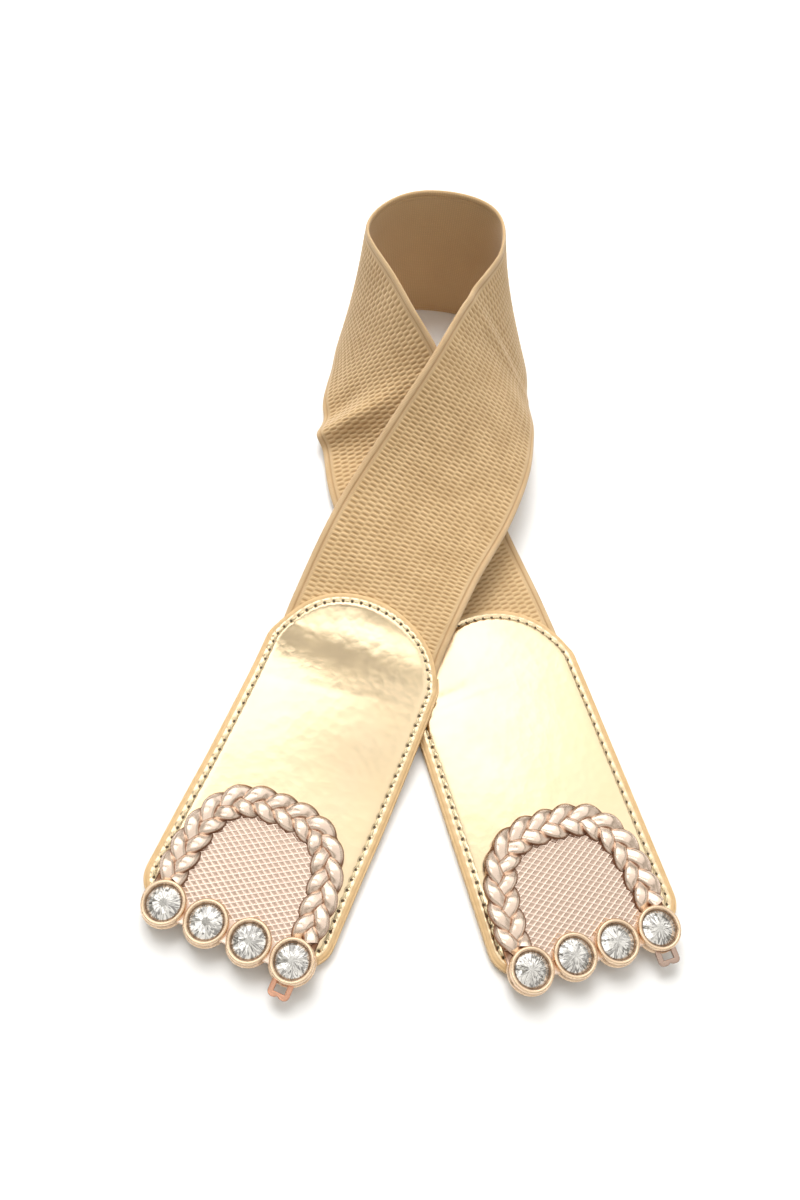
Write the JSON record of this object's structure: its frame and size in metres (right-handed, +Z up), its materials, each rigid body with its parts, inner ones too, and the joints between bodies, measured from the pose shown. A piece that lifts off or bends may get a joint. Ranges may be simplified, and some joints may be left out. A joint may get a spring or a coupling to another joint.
{
  "type": "elastic stretch belt",
  "caption": "Wide ribbed elastic waist belt with gold faux-leather end tabs and a rose-metal braided clasp set with round clear stones, laid with its ends crossed.",
  "frame": {"origin": "centre of the whole belt's box on the plane that it lies on", "axes": "+X to the right and +Y away from the clasp halves, towards the standing loop, +Z up"},
  "size_m": [0.1739, 0.3005, 0.0604],
  "materials": {
    "webbing": "ribbed beige elastic webbing with staggered rows of small bumps and smooth edges",
    "tab_front": "glossy pale gold faux leather with fine grain, tan painted edge and one stitch line",
    "tab_back": "matt tan faux leather backing",
    "clasp_metal": "polished rose-gold plated zinc casting, darker in its recesses",
    "stone": "clear cut glass with a silver foil back"
  },
  "bodies": {
    "root": {"webbing": "webbing", "tab_front_left": "tab_front", "tab_front_right": "tab_front", "tab_back_left": "tab_back", "tab_back_right": "tab_back", "buckle_left": "clasp_metal", "buckle_right": "clasp_metal", "stone_left_1": "stone", "stone_left_2": "stone", "stone_left_3": "stone", "stone_left_4": "stone", "stone_right_1": "stone", "stone_right_2": "stone", "stone_right_3": "stone", "stone_right_4": "stone"}
  },
  "joints": []
}
